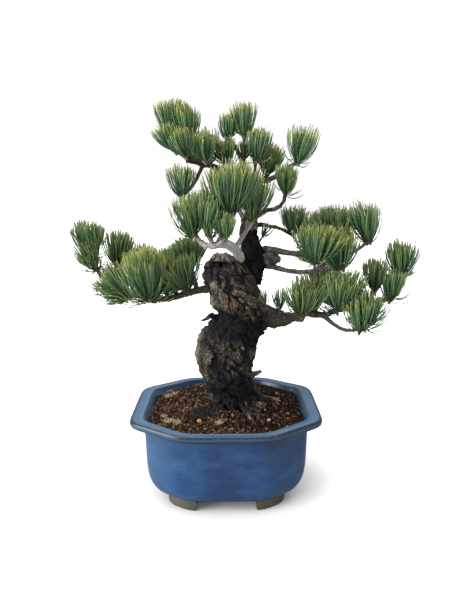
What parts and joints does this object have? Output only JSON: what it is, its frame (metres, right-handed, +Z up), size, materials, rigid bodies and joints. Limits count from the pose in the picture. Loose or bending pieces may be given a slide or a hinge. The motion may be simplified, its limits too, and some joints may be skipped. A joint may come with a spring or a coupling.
{
  "type": "bonsai tree in a pot",
  "caption": "Old bonsai pine with a leaning, plated trunk and tufts of short stiff needles on spreading branches, in a blue glazed footed pot filled with granular soil.",
  "frame": {"origin": "on the table, under the middle of the whole tree's box", "axes": "+Z up through the tree, +X to the tree's right as seen from its front, +Y to its back"},
  "size_m": [0.3618, 0.1828, 0.4151],
  "materials": {
    "glaze": "mottled cobalt glaze breaking to dark brown on the rim's edges, bare grey-brown clay feet",
    "screen": "matt moulded mesh",
    "wire": "dull annealed training wire",
    "gravel": "coarse washed grit",
    "soil": "damp baked-clay granules with a few pale and orange grains",
    "old_bark": "thick grey-brown bark in rough plates with black fissures and rust-red patches",
    "young_bark": "pale grey-brown scaly young bark, browner towards the twig ends",
    "needles": "satin blue-green pine needles",
    "needles_sunlit": "satin green pine needles with yellow tips"
  },
  "bodies": {
    "root": {"pot": "glaze", "drainage_screen_left": "screen", "drainage_screen_right": "screen", "screen_clip_left": "wire", "screen_clip_right": "wire", "tie_wire": "wire", "gravel_layer": "gravel", "soil_bed": "soil", "trunk": "old_bark", "branch_left_low": "young_bark", "branch_left_front": "young_bark", "branch_apex_left": "young_bark", "branch_apex_right": "young_bark", "branch_right_mid": "young_bark", "branch_right_low": "young_bark", "branch_back": "young_bark", "tuft_left_tip": "needles", "tuft_left_tip_low": "needles", "tuft_left_third": "needles", "tuft_left_droop": "needles", "tuft_left_back": "needles", "tuft_left_fan": "needles", "tuft_left_middle": "needles", "tuft_left_inner": "needles", "tuft_left_dark": "needles", "tuft_left_deep": "needles", "tuft_front_left": "needles", "tuft_front_mid": "needles", "tuft_front_low": "needles", "tuft_front_top_left": "needles", "tuft_front_top": "needles", "tuft_front_right": "needles", "tuft_apex_single": "needles_sunlit", "tuft_apex_low": "needles_sunlit", "tuft_apex_front": "needles_sunlit", "tuft_apex_far": "needles_sunlit", "tuft_apex_top_far": "needles_sunlit", "tuft_apex_top": "needles_sunlit", "tuft_apex_centre": "needles_sunlit", "tuft_apex_deep": "needles_sunlit", "tuft_crown_left": "needles_sunlit", "tuft_crown_top": "needles_sunlit", "tuft_crown_front": "needles_sunlit", "tuft_right_second": "needles_sunlit", "tuft_right_far": "needles_sunlit", "tuft_right_hanging": "needles", "tuft_right_small": "needles", "tuft_mid_front": "needles_sunlit", "tuft_mid_second": "needles_sunlit", "tuft_mid_back": "needles", "tuft_mid_tip": "needles", "tuft_mid_deep": "needles", "tuft_low_inner": "needles", "tuft_low_second": "needles", "tuft_low_dark": "needles", "tuft_low_front": "needles", "tuft_low_tip": "needles", "tuft_low_end": "needles", "tuft_low_deep": "needles", "tuft_back_high": "needles"}
  },
  "joints": []
}
